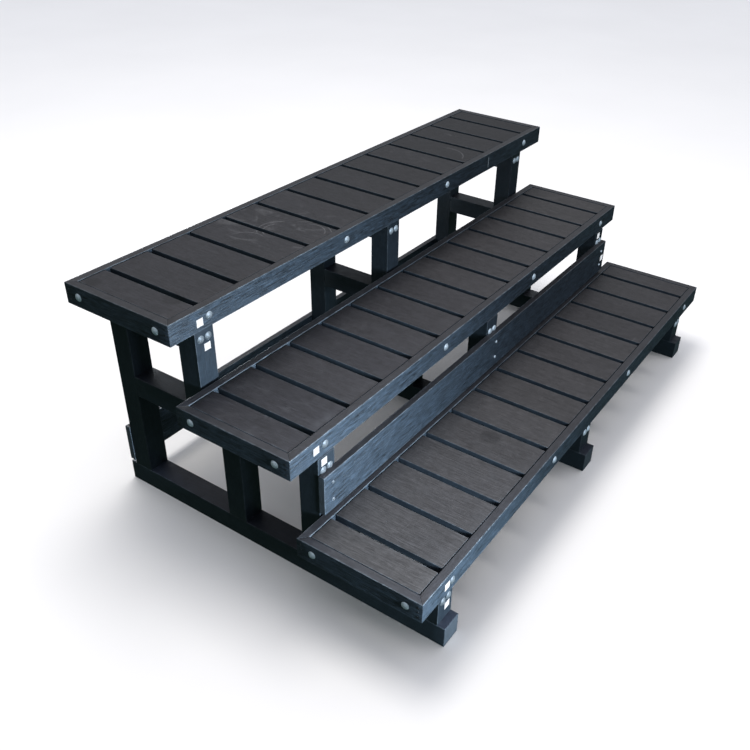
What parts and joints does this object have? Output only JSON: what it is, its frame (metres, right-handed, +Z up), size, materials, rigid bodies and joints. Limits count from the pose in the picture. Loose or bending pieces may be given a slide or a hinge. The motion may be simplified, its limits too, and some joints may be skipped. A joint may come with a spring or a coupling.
{
  "type": "spa steps",
  "caption": "Free-standing spa steps in dark recycled-plastic timber: slatted treads with mitred rims on side frames with runners, a riser board and a rear brace.",
  "frame": {"origin": "on the ground at the centre of the footprint, midway between the end frames and between the runners' ends", "axes": "+X along the treads to the right as seen from the front, +Y from the front to the back, +Z up"},
  "size_m": [1.8092, 1.038, 0.66],
  "materials": {
    "frame_timber": "satin, fine embossed grain",
    "rim_timber": "satin, embossed wood grain",
    "slat_timber": "matte, brushed along the slat",
    "zinc": "dull galvanised",
    "dark_steel": "black, matte",
    "label_film": "blank white film"
  },
  "bodies": {
    "root": {"left_runner": "frame_timber", "left_lower_post": "frame_timber", "left_middle_post": "frame_timber", "left_support_post": "frame_timber", "left_upper_post": "frame_timber", "left_rear_post": "frame_timber", "left_lower_bearer": "frame_timber", "left_middle_bearer": "frame_timber", "left_upper_bearer": "frame_timber", "centre_runner": "frame_timber", "centre_lower_post": "frame_timber", "centre_middle_post": "frame_timber", "centre_support_post": "frame_timber", "centre_upper_post": "frame_timber", "centre_rear_post": "frame_timber", "centre_lower_bearer": "frame_timber", "centre_middle_bearer": "frame_timber", "centre_upper_bearer": "frame_timber", "right_runner": "frame_timber", "right_lower_post": "frame_timber", "right_middle_post": "frame_timber", "right_support_post": "frame_timber", "right_upper_post": "frame_timber", "right_rear_post": "frame_timber", "right_lower_bearer": "frame_timber", "right_middle_bearer": "frame_timber", "right_upper_bearer": "frame_timber", "lower_front_rail": "rim_timber", "lower_back_rail": "rim_timber", "lower_left_end": "rim_timber", "lower_right_end": "rim_timber", "lower_slats": "slat_timber", "lower_front_ledger": "frame_timber", "lower_back_ledger": "frame_timber", "middle_front_rail": "rim_timber", "middle_back_rail": "rim_timber", "middle_left_end": "rim_timber", "middle_right_end": "rim_timber", "middle_slats": "slat_timber", "middle_front_ledger": "frame_timber", "middle_back_ledger": "frame_timber", "upper_front_rail": "rim_timber", "upper_back_rail": "rim_timber", "upper_left_end": "rim_timber", "upper_right_end": "rim_timber", "upper_slats": "slat_timber", "upper_front_ledger": "frame_timber", "upper_back_ledger": "frame_timber", "riser_board": "rim_timber", "rear_brace": "rim_timber", "rail_bolts": "zinc", "rail_nuts": "zinc", "end_bolts": "zinc", "post_bolts": "zinc", "board_screws": "zinc", "corner_screws": "dark_steel", "labels": "label_film"}
  },
  "joints": []
}
